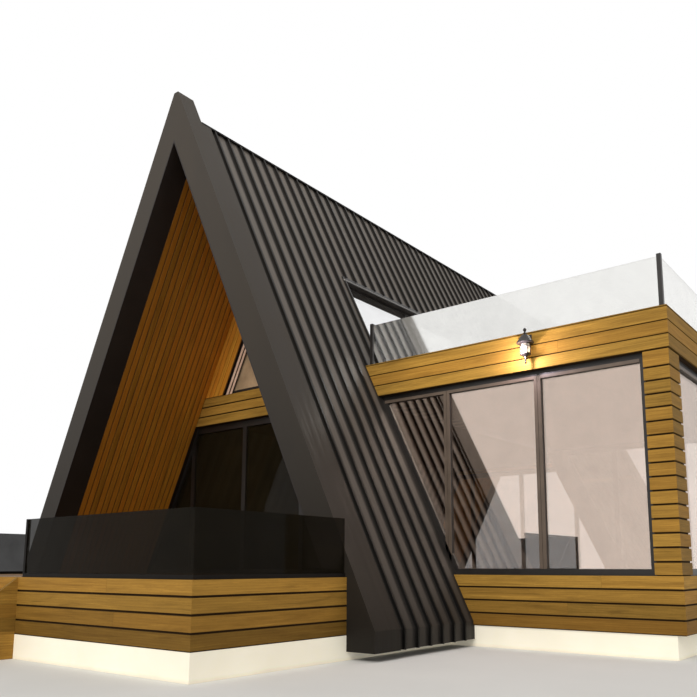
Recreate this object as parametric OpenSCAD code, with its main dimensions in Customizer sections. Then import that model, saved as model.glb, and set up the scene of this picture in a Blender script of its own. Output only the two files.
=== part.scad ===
// A-frame cabin with a raised deck, a glazed flat-roofed side wing and a roof terrace.
// Units are millimetres. X runs across the front, Y runs back along the ridge, Z is up.
// The origin is on the ground, under the ridge, in the plane of the front portal.

/* [Levels] */
// Height of the concrete plinth above ground
plinth_h = 315; // [200:5:380]
// Height of the deck and ground floor above the plinth
deck_h = 750; // [500:5:1000]
// Height of the wing's window sills above the ground floor
sill_up = 15; // [5:1:400]
// Height of the ground-floor glazing, up to the timber band and parapet
glazing_h = 3090; // [2200:10:3500]
// Height of the timber band and parapet
band_h = 605; // [500:5:900]
// Thickness of the terrace slab
slab_t = 330; // [250:5:460]

/* [A-frame] */
// Slope of both roof faces in degrees
roof_pitch = 64.2; // [60:0.1:68]
// Height where the two outer roof planes would meet
apex_h = 9900; // [8800:10:11000]
// Drop from there to the blunt tip of the portal
tip_drop = 110; // [60:5:200]
// Drop from there to the flat ridge capping
ridge_drop = 650; // [500:5:720]
// Length of the A-frame from portal face to portal face
frame_len = 16140; // [14000:20:18000]
// Thickness of the roof build-up, square to the slope
frame_t = 480; // [360:5:560]
// Depth of each portal along the ridge
portal_d = 560; // [400:10:700]
// Height where the roof turns upright to its feet
knee_h = 385; // [330:5:600]
// Gap between the roof feet and the ground
foot_gap = 110; // [60:5:160]
// Depth of the portal tips that stand above the ridge
tip_d = 350; // [200:10:390]

/* [Standing seams] */
// Spacing of the seams along the ridge
seam_pitch = 313; // [250:1:500]
// Height of a seam above the roof sheet
seam_h = 45; // [25:1:60]
// Width of a seam
seam_w = 40; // [20:1:60]
// Distance from the portal to the middle of the first seam
seam_start = 115; // [60:5:200]
// Thickness of the ridge capping
cap_t = 30; // [15:1:60]

/* [Porch] */
// Depth of the porch from the portal face to the timber band
porch_d = 2540; // [1800:10:2700]
// Depth of the dark reveal panels behind the portal edge
reveal_d = 460; // [300:10:540]
// Thickness of reveal panels and soffit boards
lining_t = 25; // [15:1:40]
// Thickness of the timber band beam
band_t = 220; // [150:5:300]
// Thickness of the gable walls
gable_t = 160; // [120:5:200]
// Width of the timber margin beside the gable window, square to the slope
gable_margin = 500; // [350:10:700]
// Thickness of the upper floor
upper_t = 200; // [120:5:260]

/* [Windows] */
// Distance from the timber face back to the window frames
win_recess = 100; // [60:5:110]
// Depth of a window frame
win_d = 80; // [50:5:90]
// Width of a window frame bar
bar_w = 68; // [40:1:90]
// Height of the head bar with its blind box
head_bar = 130; // [100:5:220]
// Height of the foot bar
foot_bar = 90; // [50:5:120]
// Width of a mullion
mullion_w = 110; // [60:2:130]
// Thickness of a glass unit
glass_t = 24; // [12:1:36]
// Distance between the mullions of the wing
bay_w = 1630; // [1300:10:1800]
// Distance between the mullions of the front porch glazing
porch_bay = 1600; // [1200:10:2000]
// Distance between the mullions of the rear porch glazing
rear_bay = 1750; // [1400:10:2000]

/* [Deck] */
// Length of the deck in front of the portal
deck_len = 2540; // [1800:10:3200]
// Thickness of the timber cladding boards
clad_t = 40; // [20:1:60]
// Thickness of the deck boards
board_t = 30; // [20:1:45]
// Height of the glass balustrade above the deck
rail_h = 775; // [700:5:1100]
// Thickness of balustrade glass
pane_t = 20; // [12:1:30]
// Distance from the deck edge to the middle of the glass
pane_inset = 50; // [40:1:90]
// Height of the metal channel under the glass
channel_h = 50; // [30:1:80]
// Width of the metal channel and of the end posts
channel_w = 46; // [36:1:60]
// Clear width between the glass ends at the steps
gate_w = 1200; // [1100:10:1800]

/* [Entrance steps] */
// Outer width of the steps
steps_w = 1016; // [900:2:1090]
// Number of risers up to the deck
risers = 6; // [5:1:8]
// Going of each step
going = 228; // [200:2:300]
// Thickness of the side cheeks
cheek_t = 60; // [40:1:90]
// Thickness of a tread
tread_t = 40; // [30:1:60]
// Thickness of a riser board
riser_t = 20; // [15:1:30]

/* [Wing] */
// Width of the wing from the roof foot to its outer face
wing_w = 3100; // [2600:10:4000]
// Length of the wing along the ridge
wing_len = 8000; // [6000:20:10000]
// Thickness of the parapet walls
parapet_t = 200; // [190:5:240]
// Width of the corner posts
post_w = 355; // [260:5:450]
// Depth of the corner posts along the wing's side
post_d = 490; // [350:10:600]
// Set-back of the corner posts from the cladding face
post_back = 15; // [0:1:30]
// Set-back of the wing plinth from its side cladding
plinth_back = 130; // [60:5:180]
// Set-back of the wing plinth from its front cladding
plinth_front_back = 30; // [10:5:60]

/* [Terrace] */
// Height of the terrace glass above the parapet
guard_h = 745; // [600:5:1000]
// Thickness of the terrace glass
guard_t = 20; // [12:1:30]
// Distance from the parapet face to the middle of the terrace glass
guard_inset = 85; // [60:5:100]
// Width of the terrace glass posts
guard_post = 60; // [30:1:80]
// Gap from the roof sheet to the end posts of the terrace glass
guard_gap = 90; // [70:5:200]
// Distance from the wing front back to the terrace window
tw_back = 510; // [260:10:1000]
// Width of the terrace window along the ridge
tw_len = 4270; // [3000:10:5000]
// Height of the terrace window head above the terrace floor, on the outer plane
tw_h = 2280; // [1800:10:2700]
// Height of the terrace window sill above the terrace floor
tw_sill = 110; // [80:5:300]
// Depth of the terrace window pane below the outer plane
tw_recess = 110; // [90:5:200]
// Thickness of the terrace window casing
tw_case = 30; // [20:1:50]
// Width of a terrace window bar
tw_bar = 45; // [30:1:80]
// Width of the flashing above the terrace window
flash_w = 120; // [80:5:160]
// Thickness of the flashing
flash_t = 20; // [10:1:30]

/* [Wall lantern] */
// Distance of the lantern from the outer face of the wing
lantern_in = 2060; // [1500:10:2300]
// Distance of the lantern's foot above the window head
lantern_up = 30; // [15:1:60]
// Overall height of the lantern
lantern_h = 600; // [540:5:640]
// Reach of the lantern axis from the parapet face
lantern_reach = 150; // [145:5:200]
// Radius of the lantern cap
lantern_r = 132; // [90:1:135]
// Height of the cap with its finial
lantern_cap_h = 165; // [130:5:180]
// Radius of the finial ball
finial_r = 30; // [15:1:35]
// Radius of the lantern glass
globe_r = 66; // [40:1:70]
// Height of the lantern glass
globe_h = 240; // [180:2:260]
// Height of the cup under the glass
cup_h = 55; // [30:5:80]
// Thickness of the lantern's upright bars
strut_d = 10; // [6:1:12]
// Width of the lantern's arm
arm_w = 24; // [14:1:30]
// Width of the lantern's wall plate
plate_w = 90; // [60:2:120]
// Thickness of the lantern's wall plate
plate_t = 15; // [8:1:20]

/* [Hidden] */

// Colours as the photograph shows them
metal_c = [0.22, 0.21, 0.2];
timber_c = [0.66, 0.45, 0.2];
soffit_c = [0.6, 0.35, 0.12];
concrete_c = [0.9, 0.87, 0.79];
frame_c = [0.12, 0.11, 0.1];
glass_c = [0.62, 0.68, 0.68];
pale_c = [0.8, 0.74, 0.64];

// Slope helpers: off is measured square to the slope, inwards from the outer plane
pt = tan(roof_pitch);
ps = sin(roof_pitch);
pc = cos(roof_pitch);
inner_off = frame_t - lining_t;
function half_w(z, off = 0) = (apex_h - off / pc - z) / pt;
function peak(off = 0) = apex_h - off / pc;
function knee(off = 0) = peak(off) - pt * (foot_x - off);
// Point on the right slope at distance s up the outer plane from ground level
function on_roof(s, off) = [half_w(0) - s * pc - off * ps, s * ps - off * pc];

floor_h = plinth_h + deck_h;
sill_h = floor_h + sill_up;
head_h = sill_h + glazing_h;
terrace_h = head_h + slab_t;
band_top = head_h + band_h;
tip_h = apex_h - tip_drop;
ridge_h = apex_h - ridge_drop;
foot_x = half_w(knee_h);
plinth_hw = half_w(plinth_h, inner_off);
floor_hw = half_w(floor_h, inner_off);
frame_y = porch_d + win_recess;
wing_y0 = porch_d;
wing_y1 = wing_y0 + wing_len;
wing_x = foot_x + wing_w;
lantern_x = wing_x - lantern_in;
seam_n = floor((frame_len - 2 * portal_d - seam_start - seam_w) / seam_pitch) + 1;
tw_start = wing_y0 + tw_back;
tw_end = tw_start + tw_len;
tw_head = terrace_h + tw_h;
tw_s0 = (terrace_h + tw_sill) / ps;
tw_s1 = tw_head / ps;
tw_s2 = tw_s1 + flash_w;
deck_hw = plinth_hw - clad_t;
pane_x = plinth_hw - pane_inset;
pane_y = -deck_len + pane_inset;
// Width of a frame bar along X where it follows the roof slope
bar_x = bar_w / ps;
// Overrun of a cut beyond the faces it opens
cut = 1;

// Solid of an outline in the XZ plane, from y0 to y1
module along_y(y0, y1, pts) {
  translate([0, y1, 0]) rotate([90, 0, 0]) linear_extrude(y1 - y0) polygon(pts);
}
// Solid of an outline in the YZ plane, from x0 to x1
module along_x(x0, x1, pts) {
  translate([x0, 0, 0]) rotate([90, 0, 90]) linear_extrude(x1 - x0) polygon(pts);
}
// Box between two corners
module block(a, b) {
  translate(a) cube(b - a);
}
// The same piece on both sides of the ridge
module both_sides() {
  children();
  mirror([1, 0, 0]) children();
}
// The same piece at the front and, turned round, at the rear
module both_ends() {
  children();
  translate([0, frame_len, 0]) mirror([0, 1, 0]) children();
}
// The same piece at the wing's rear, turned round
module wing_rear() {
  translate([0, wing_y0 + wing_y1, 0]) mirror([0, 1, 0]) children();
}
// Places children on the right slope: x along the ridge, y up the slope, z outwards
module on_slope() {
  translate([half_w(0), 0, 0]) rotate([0, roof_pitch, 0]) rotate([0, 0, 90]) children();
}
// Outline of a right-hand roof or portal leg between two planes
function leg(top, off) = [
  [0, top], [half_w(top, off), top], [foot_x - off, knee(off)], [foot_x - off, foot_gap],
  [plinth_hw, foot_gap], [plinth_hw, plinth_h], [0, peak(inner_off)]];
// Symmetric outline between two levels inside the roof
function room(z0, z1, off = inner_off) = [
  [-half_w(z0, off), z0], [half_w(z0, off), z0], [half_w(z1, off), z1], [-half_w(z1, off), z1]];
// Outline in the wing from the roof sheet to a side wall
function wing_part(z0, z1, x1) = [
  [half_w(z0, seam_h), z0], [x1, z0], [x1, z1], [half_w(z1, seam_h), z1]];

module plinth_main() {
  color(concrete_c) block([-plinth_hw, -deck_len, 0], [plinth_hw, frame_len, plinth_h]);
}
module plinth_wing() {
  x1 = wing_x - plinth_back;
  color(concrete_c) along_y(wing_y0 + plinth_front_back, wing_y1 - plinth_front_back, [
    [plinth_hw, 0], [x1, 0], [x1, plinth_h], [foot_x - seam_h, plinth_h],
    [foot_x - seam_h, foot_gap], [plinth_hw, foot_gap]]);
}
module floor_platform() {
  color(concrete_c) {
    block([-deck_hw, -deck_len + clad_t, plinth_h], [deck_hw, 0, floor_h - board_t]);
    both_ends() along_y(0, frame_y, room(plinth_h, floor_h - board_t));
    along_y(frame_y, frame_len - frame_y, room(plinth_h, floor_h));
  }
}
module deck_boards() {
  color(timber_c) {
    block([-deck_hw, -deck_len + clad_t, floor_h - board_t], [deck_hw, 0, floor_h]);
    both_ends() block([-floor_hw, 0, floor_h - board_t], [floor_hw, frame_y, floor_h]);
  }
}
module deck_cladding() {
  color(timber_c) {
    block([-plinth_hw, -deck_len, plinth_h], [plinth_hw, -deck_len + clad_t, floor_h]);
    both_sides() block([deck_hw, -deck_len, plinth_h], [plinth_hw, 0, floor_h]);
  }
}
module entrance_steps() {
  rise = floor_h / risers;
  run = going * (risers - 1);
  inner = steps_w / 2 - cheek_t;
  toe_y = -deck_len - run - going / 2;
  color(timber_c) {
    both_sides() along_x(inner, steps_w / 2, [
      [-deck_len, 0], [-deck_len, floor_h], [-deck_len - run, rise], [toe_y, rise], [toe_y, 0]]);
    for (i = [1 : risers - 1]) {
      y = -deck_len - going * (risers - 1 - i);
      foot = i == 1 ? 0 : (i - 1) * rise - tread_t;
      block([-inner, y - going - riser_t, i * rise - tread_t], [inner, y, i * rise]);
      block([-inner, y - going, foot], [inner, y - going + riser_t, i * rise - tread_t]);
    }
  }
}
module deck_rail_metal() {
  c = channel_w / 2;
  x0 = gate_w / 2;
  color(frame_c) both_sides() {
    block([x0, pane_y - c, floor_h], [pane_x + c, pane_y + c, floor_h + channel_h]);
    block([pane_x - c, pane_y, floor_h], [pane_x + c, 0, floor_h + channel_h]);
    block([x0 - channel_w, pane_y - c, floor_h], [x0, pane_y + c, floor_h + rail_h]);
  }
}
module deck_rail_glass() {
  z0 = floor_h + channel_h;
  z1 = floor_h + rail_h;
  color(glass_c) both_sides() {
    block([gate_w / 2, pane_y - pane_t / 2, z0], [pane_x + pane_t / 2, pane_y + pane_t / 2, z1]);
    block([pane_x - pane_t / 2, pane_y + pane_t / 2, z0], [pane_x + pane_t / 2, 0, z1]);
  }
}
// Portal: two legs with a blunt tip, cut down behind the tip to carry the ridge capping
module portal() {
  difference() {
    both_sides() along_y(0, portal_d, leg(tip_h, 0));
    block([-foot_x, tip_d, ridge_h - cap_t], [foot_x, portal_d + cut, tip_h + cut]);
  }
}
module portal_front() {
  color(metal_c) portal();
}
module portal_rear() {
  color(metal_c) translate([0, frame_len, 0]) mirror([0, 1, 0]) portal();
}
function lining() = [
  [half_w(floor_h, frame_t), floor_h], [half_w(floor_h, inner_off), floor_h],
  [0, peak(inner_off)], [0, peak(frame_t)]];
module portal_reveals() {
  color(frame_c) both_ends() both_sides() along_y(0, reveal_d, lining());
}
module porch_lining() {
  color(soffit_c) both_ends() both_sides() along_y(reveal_d, porch_d, lining());
}
module roof_left() {
  color(metal_c) mirror([1, 0, 0])
    along_y(portal_d, frame_len - portal_d, leg(ridge_h - cap_t, seam_h));
}
// Opening through the slope that joins the ground room to the wing
module wing_gap() {
  along_y(wing_y0 + parapet_t, wing_y1 - parapet_t, [
    [half_w(floor_h, frame_t), floor_h], [half_w(floor_h), floor_h],
    [half_w(head_h), head_h], [half_w(head_h, frame_t), head_h]]);
}
module roof_right_front() {
  color(metal_c) difference() {
    along_y(portal_d, tw_start, leg(ridge_h - cap_t, seam_h));
    wing_gap();
  }
}
module roof_right_rear() {
  color(metal_c) difference() {
    along_y(tw_end, frame_len - portal_d, leg(ridge_h - cap_t, seam_h));
    wing_gap();
  }
}
module roof_right_upper() {
  top = ridge_h - cap_t;
  color(metal_c) along_y(tw_start, tw_end, [
    [0, top], [half_w(top, seam_h), top], on_roof(tw_s1, seam_h), on_roof(tw_s1, inner_off),
    [0, peak(inner_off)]]);
}
module roof_right_lower() {
  color(metal_c) difference() {
    along_y(tw_start, tw_end, [
      on_roof(tw_s0, seam_h), [foot_x - seam_h, knee(seam_h)], [foot_x - seam_h, foot_gap],
      [plinth_hw, foot_gap], [plinth_hw, plinth_h], on_roof(tw_s0, inner_off)]);
    wing_gap();
  }
}
// Height at which the right-hand seam at y stops: feet, terrace, parapet or window head
function seam_foot(y) =
  y + seam_w / 2 < wing_y0 || y - seam_w / 2 > wing_y1 ? 0
  : y + seam_w / 2 > tw_start && y - seam_w / 2 < tw_end ? tw_s2 * ps
  : y - seam_w / 2 < wing_y0 + parapet_t || y + seam_w / 2 > wing_y1 - parapet_t ? band_top
  : terrace_h;
module seam(y, z0) {
  top = ridge_h - cap_t;
  y0 = y - seam_w / 2;
  if (z0 == 0) {
    along_y(y0, y0 + seam_w, [
      [half_w(top, seam_h), top], [half_w(top), top], [foot_x, knee()], [foot_x, foot_gap],
      [foot_x - seam_h, foot_gap], [foot_x - seam_h, knee(seam_h)]]);
  } else {
    along_y(y0, y0 + seam_w, [
      [half_w(top, seam_h), top], [half_w(top), top], [half_w(z0), z0], [half_w(z0, seam_h), z0]]);
  }
}
module roof_seams() {
  color(metal_c) for (i = [0 : seam_n - 1]) {
    y = portal_d + seam_start + i * seam_pitch;
    seam(y, seam_foot(y));
    mirror([1, 0, 0]) seam(y, 0);
  }
}
module ridge_cap() {
  w = half_w(ridge_h - cap_t);
  color(metal_c) block([-w, tip_d, ridge_h - cap_t], [w, frame_len - tip_d, ridge_h]);
}
// Glazing inside the end of the A-frame, cut by mullions at the given places
module end_panes(y0, y1, mullions) {
  z0 = floor_h + foot_bar;
  z1 = head_h - head_bar;
  x0 = half_w(z0, inner_off) - bar_x;
  x1 = half_w(z1, inner_off) - bar_x;
  difference() {
    along_y(y0, y1, [[-x0, z0], [x0, z0], [x1, z1], [-x1, z1]]);
    for (x = mullions)
      block([x - mullion_w / 2, y0 - cut, floor_h], [x + mullion_w / 2, y1 + cut, head_h]);
  }
}
module end_frame(mullions) {
  color(frame_c) difference() {
    along_y(frame_y, frame_y + win_d, room(floor_h, head_h));
    end_panes(frame_y - cut, frame_y + win_d + cut, mullions);
  }
}
module end_glass(mullions) {
  y0 = frame_y + (win_d - glass_t) / 2;
  color(glass_c) end_panes(y0, y0 + glass_t, mullions);
}
porch_mullions = [for (i = [-3 : 2 : 3]) i * porch_bay / 2];
rear_mullions = [for (i = [-1 : 1]) i * rear_bay];
module porch_frame() {
  end_frame(porch_mullions);
}
module porch_glass() {
  end_glass(porch_mullions);
}
module rear_frame() {
  translate([0, frame_len, 0]) mirror([0, 1, 0]) end_frame(rear_mullions);
}
module rear_glass() {
  translate([0, frame_len, 0]) mirror([0, 1, 0]) end_glass(rear_mullions);
}
module timber_band() {
  color(timber_c) both_ends() along_y(porch_d, porch_d + band_t, room(head_h, band_top));
}
// Triangle inside the roof from level z0 up to the peak of the plane at off
function gable(z0, off) = [[-half_w(z0, off), z0], [half_w(z0, off), z0], [0, peak(off)]];
gable_off = inner_off + gable_margin;
module gable_wall() {
  color(soffit_c) both_ends() difference() {
    along_y(porch_d, porch_d + gable_t, gable(band_top, inner_off));
    along_y(porch_d - cut, porch_d + gable_t + cut, gable(band_top, gable_off));
  }
}
module gable_frame() {
  y0 = porch_d + gable_t - win_d;
  color(pale_c) both_ends() difference() {
    along_y(y0, y0 + win_d, gable(band_top, gable_off));
    along_y(y0 - cut, y0 + win_d + cut, gable(band_top + bar_w, gable_off + bar_w));
  }
}
module gable_glass() {
  y0 = porch_d + gable_t - win_d + (win_d - glass_t) / 2;
  color(glass_c) both_ends()
    along_y(y0, y0 + glass_t, gable(band_top + bar_w, gable_off + bar_w));
}
module upper_floor() {
  y0 = porch_d + band_t;
  color(timber_c) along_y(y0, frame_len - y0, room(terrace_h - upper_t, terrace_h));
}
module wing_platform() {
  x1 = wing_x - clad_t;
  color(concrete_c) along_y(wing_y0 + clad_t, wing_y1 - clad_t, [
    [foot_x - seam_h, plinth_h], [x1, plinth_h], [x1, floor_h], [half_w(floor_h, seam_h), floor_h],
    [foot_x - seam_h, knee(seam_h)]]);
}
module wing_cladding() {
  sill_d = win_recess + win_d;
  color(timber_c) {
    for (y = [wing_y0, wing_y1 - clad_t]) along_y(y, y + clad_t, [
      [foot_x - seam_h, plinth_h], [wing_x, plinth_h], [wing_x, sill_h],
      [half_w(sill_h, seam_h), sill_h], [foot_x - seam_h, knee(seam_h)]]);
    block([wing_x - clad_t, wing_y0, plinth_h], [wing_x, wing_y1, sill_h]);
    along_y(wing_y0, wing_y0 + sill_d, wing_part(floor_h, sill_h, wing_x));
    along_y(wing_y1 - sill_d, wing_y1, wing_part(floor_h, sill_h, wing_x));
    block([wing_x - sill_d, wing_y0, floor_h], [wing_x, wing_y1, sill_h]);
  }
}
post_x = wing_x - post_back - post_w;
module wing_posts() {
  color(timber_c) for (y = [wing_y0 + post_back, wing_y1 - post_back - post_d])
    block([post_x, y, sill_h], [post_x + post_w, y + post_d, head_h]);
}
// Bays of the wing front, cut by the roof slope on the left
module front_panes(y0, y1) {
  z0 = sill_h + foot_bar;
  z1 = head_h - head_bar;
  x1 = post_x - bar_w;
  n = floor((post_x - half_w(head_h, seam_h)) / bay_w);
  difference() {
    along_y(y0, y1, [
      [half_w(z0, seam_h) + bar_x, z0], [x1, z0], [x1, z1], [half_w(z1, seam_h) + bar_x, z1]]);
    for (i = [1 : n]) block([post_x - i * bay_w - mullion_w / 2, y0 - cut, sill_h],
      [post_x - i * bay_w + mullion_w / 2, y1 + cut, head_h]);
  }
}
module wing_frame_front() {
  y0 = wing_y0 + win_recess;
  color(frame_c) difference() {
    along_y(y0, y0 + win_d, wing_part(sill_h, head_h, post_x));
    front_panes(y0 - cut, y0 + win_d + cut);
  }
}
module wing_glass_front() {
  y0 = wing_y0 + win_recess + (win_d - glass_t) / 2;
  color(glass_c) front_panes(y0, y0 + glass_t);
}
module wing_frame_rear() {
  wing_rear() wing_frame_front();
}
module wing_glass_rear() {
  wing_rear() wing_glass_front();
}
side_y0 = wing_y0 + post_back + post_d;
side_y1 = wing_y1 - post_back - post_d;
side_n = round((side_y1 - side_y0) / bay_w);
side_bay = (side_y1 - side_y0 - 2 * bar_w + mullion_w) / side_n;
module side_panes(x0, x1) {
  for (i = [0 : side_n - 1])
    block([x0, side_y0 + bar_w + i * side_bay, sill_h + foot_bar],
      [x1, side_y0 + bar_w + (i + 1) * side_bay - mullion_w, head_h - head_bar]);
}
module wing_frame_side() {
  x1 = wing_x - win_recess;
  color(frame_c) difference() {
    block([x1 - win_d, side_y0, sill_h], [x1, side_y1, head_h]);
    side_panes(x1 - win_d - cut, x1 + cut);
  }
}
module wing_glass_side() {
  x0 = wing_x - win_recess - (win_d + glass_t) / 2;
  color(glass_c) side_panes(x0, x0 + glass_t);
}
module terrace_slab() {
  color(concrete_c) along_y(wing_y0 + parapet_t, wing_y1 - parapet_t,
    wing_part(head_h, terrace_h, wing_x - parapet_t));
}
module parapet() {
  color(timber_c) {
    for (y = [wing_y0, wing_y1 - parapet_t])
      along_y(y, y + parapet_t, wing_part(head_h, band_top, wing_x));
    block([wing_x - parapet_t, wing_y0, head_h], [wing_x, wing_y1, band_top]);
  }
}
guard_x0 = half_w(band_top, seam_h) + guard_gap;
guard_x1 = wing_x - guard_inset;
guard_y0 = wing_y0 + guard_inset;
guard_y1 = wing_y1 - guard_inset;
module terrace_glass() {
  z1 = band_top + guard_h;
  p = guard_post / 2;
  t = guard_t / 2;
  color(glass_c) {
    for (y = [guard_y0, guard_y1])
      block([guard_x0 + p, y - t, band_top], [guard_x1 - p, y + t, z1]);
    block([guard_x1 - t, guard_y0 + p, band_top], [guard_x1 + t, guard_y1 - p, z1]);
  }
}
module terrace_posts() {
  p = guard_post / 2;
  color(frame_c) for (x = [guard_x0, guard_x1], y = [guard_y0, guard_y1])
    block([x - p, y - p, band_top], [x + p, y + p, band_top + guard_h + guard_post / 2]);
}
// Casing round the opening in the slope, with a fixed frame in its depth and a head flashing
module terrace_window_frame() {
  depth = tw_recess + win_d;
  color(frame_c) on_slope() {
    block([tw_start, tw_s1, -seam_h], [tw_end, tw_s2, flash_t - seam_h]);
    difference() {
      block([tw_start, tw_s0, -depth], [tw_end, tw_s1, 0]);
      block([tw_start + tw_case, tw_s0 + tw_case, -tw_recess],
        [tw_end - tw_case, tw_s1 - tw_case, cut]);
      tw_panes(-depth - cut, cut);
    }
  }
}
module tw_panes(z0, z1) {
  e = tw_case + tw_bar;
  mid = tw_start + tw_len / 2;
  block([tw_start + e, tw_s0 + e, z0], [mid - tw_bar / 2, tw_s1 - e, z1]);
  block([mid + tw_bar / 2, tw_s0 + e, z0], [tw_end - e, tw_s1 - e, z1]);
}
module terrace_window_glass() {
  z = -tw_recess - (win_d + glass_t) / 2;
  color(glass_c) on_slope() tw_panes(z, z + glass_t);
}
// Levels of the lantern parts, as steps down from its top
lantern_foot = head_h + lantern_up;
lantern_top = lantern_foot + lantern_h;
lantern_y = wing_y0 - lantern_reach;
cap_z = lantern_top - lantern_cap_h;
cup_z = cap_z - globe_h;
tail_z = cup_z - cup_h;
cage_r = globe_r + 1.5 * strut_d;
module lantern_body() {
  cone_h = lantern_cap_h - 2 * finial_r;
  color(frame_c) {
    translate([lantern_x, lantern_y, 0]) {
      translate([0, 0, cap_z]) cylinder(h = cone_h, r1 = lantern_r, r2 = finial_r, $fn = 24);
      translate([0, 0, cap_z]) cylinder(h = lantern_cap_h - finial_r, r = 0.8 * finial_r, $fn = 24);
      translate([0, 0, lantern_top - finial_r]) sphere(r = finial_r, $fn = 24);
      translate([0, 0, tail_z]) cylinder(h = cup_h, r1 = 2 * strut_d, r2 = cage_r + strut_d, $fn = 24);
      translate([0, 0, lantern_foot])
        cylinder(h = tail_z - lantern_foot, r1 = strut_d / 2, r2 = 2 * strut_d, $fn = 24);
      for (a = [45 : 90 : 315]) rotate(a) translate([cage_r, 0, cup_z - strut_d])
        cylinder(h = globe_h + 2 * strut_d, d = strut_d, $fn = 16);
    }
    block([lantern_x - arm_w / 2, lantern_y, cap_z + arm_w],
      [lantern_x + arm_w / 2, wing_y0 - plate_t, cap_z + 2 * arm_w]);
    block([lantern_x - plate_w / 2, wing_y0 - plate_t, cap_z - plate_w / 2],
      [lantern_x + plate_w / 2, wing_y0, cap_z + plate_w]);
  }
}
module lantern_glass() {
  color([1, 0.9, 0.65]) translate([lantern_x, lantern_y, cup_z])
    cylinder(h = globe_h, r = globe_r, $fn = 24);
}

plinth_main();
plinth_wing();
floor_platform();
deck_boards();
deck_cladding();
entrance_steps();
deck_rail_metal();
deck_rail_glass();
portal_front();
portal_rear();
portal_reveals();
roof_left();
roof_right_front();
roof_right_rear();
roof_right_upper();
roof_right_lower();
roof_seams();
ridge_cap();
porch_lining();
porch_frame();
porch_glass();
timber_band();
gable_wall();
gable_frame();
gable_glass();
upper_floor();
rear_frame();
rear_glass();
wing_platform();
wing_cladding();
wing_posts();
wing_frame_front();
wing_glass_front();
wing_frame_side();
wing_glass_side();
wing_frame_rear();
wing_glass_rear();
terrace_slab();
parapet();
terrace_glass();
terrace_posts();
terrace_window_frame();
terrace_window_glass();
lantern_body();
lantern_glass();
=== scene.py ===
# A-frame cabin: timber boards, folded metal, glazing and stage, laid out as an add-on.
import math
import random

import bmesh
import bpy
from bpy.props import FloatProperty, FloatVectorProperty, IntProperty, PointerProperty
from mathutils import Euler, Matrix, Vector


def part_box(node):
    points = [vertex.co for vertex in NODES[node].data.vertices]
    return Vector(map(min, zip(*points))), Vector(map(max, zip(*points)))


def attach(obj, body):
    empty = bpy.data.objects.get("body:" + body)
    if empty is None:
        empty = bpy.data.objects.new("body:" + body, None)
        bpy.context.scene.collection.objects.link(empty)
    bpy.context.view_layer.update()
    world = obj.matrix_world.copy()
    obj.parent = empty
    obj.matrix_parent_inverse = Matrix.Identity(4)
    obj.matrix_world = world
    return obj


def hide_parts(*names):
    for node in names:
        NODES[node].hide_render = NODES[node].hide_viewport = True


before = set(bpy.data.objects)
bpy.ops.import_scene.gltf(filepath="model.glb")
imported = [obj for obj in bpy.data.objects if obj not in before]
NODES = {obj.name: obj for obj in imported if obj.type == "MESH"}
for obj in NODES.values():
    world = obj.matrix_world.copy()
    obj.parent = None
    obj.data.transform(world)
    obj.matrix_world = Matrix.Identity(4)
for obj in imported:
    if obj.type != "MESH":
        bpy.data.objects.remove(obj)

bl_info = {
    "name": "A-frame cabin",
    "version": (1, 0, 0),
    "blender": (4, 5, 0),
    "location": "3D View > Sidebar > Cabin",
    "description": "Timber boards, seamed metal, glazing and a plain stage for the a-frame cabin",
    "category": "Object",
}

UP = Vector((0, 0, 1))
EAST = Vector((1, 0, 0))
WEST = Vector((-1, 0, 0))
NORTH = Vector((0, 1, 0))
SOUTH = Vector((0, -1, 0))


def low(node):
    return Vector(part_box(node)[0])


def high(node):
    return Vector(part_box(node)[1])


class Levels:
    """Heights, edges and roof planes of the cabin in metres, taken from its solids."""
    plinth = high("plinth_main").z
    floor = high("deck_cladding").z
    sill = high("wing_cladding").z
    head = low("parapet").z
    terrace = high("terrace_slab").z
    band = high("parapet").z
    length = high("portal_rear").y
    deck_x = high("plinth_main").x
    deck_y = low("deck_cladding").y
    porch_y = low("timber_band").y
    wing_x = high("parapet").x
    wing_y0 = low("parapet").y
    wing_y1 = high("parapet").y
    foot_x = high("portal_front").x
    # Height of the inner roof plane under the ridge, and its fall per metre across
    inner_peak = high("portal_reveals").z
    fall = (inner_peak - floor) / high("portal_reveals").x
    pitch = math.atan(fall)
    ps = math.sin(pitch)
    pc = math.cos(pitch)
    seam = foot_x + low("roof_left").x
    # The outer plane runs through the seams' outer edges and the edges of the ridge capping
    outer_peak = high("roof_seams").z + fall * high("ridge_cap").x
    lining = (outer_peak - inner_peak) * pc
    knee = outer_peak - fall * foot_x

    @classmethod
    def apex(cls, depth=0.0):
        """Height where two planes meet that lie the given depth below the outer plane."""
        return cls.outer_peak - depth / cls.pc

    @classmethod
    def half(cls, z, depth=0.0):
        """Half the width between two such planes at a height."""
        return (cls.apex(depth) - z) / cls.fall


# ---------------------------------------------------------------- settings

def number(name, description, default, **limits):
    return FloatProperty(name=name, description=description, default=default, **limits)


def length(name, description, default, least, most):
    return number(name, description, default, min=least, max=most, unit="LENGTH")


def shade(name, description, *default):
    return FloatVectorProperty(name=name, description=description, default=default, size=3, min=0, max=1,
                               subtype="COLOR")


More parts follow.
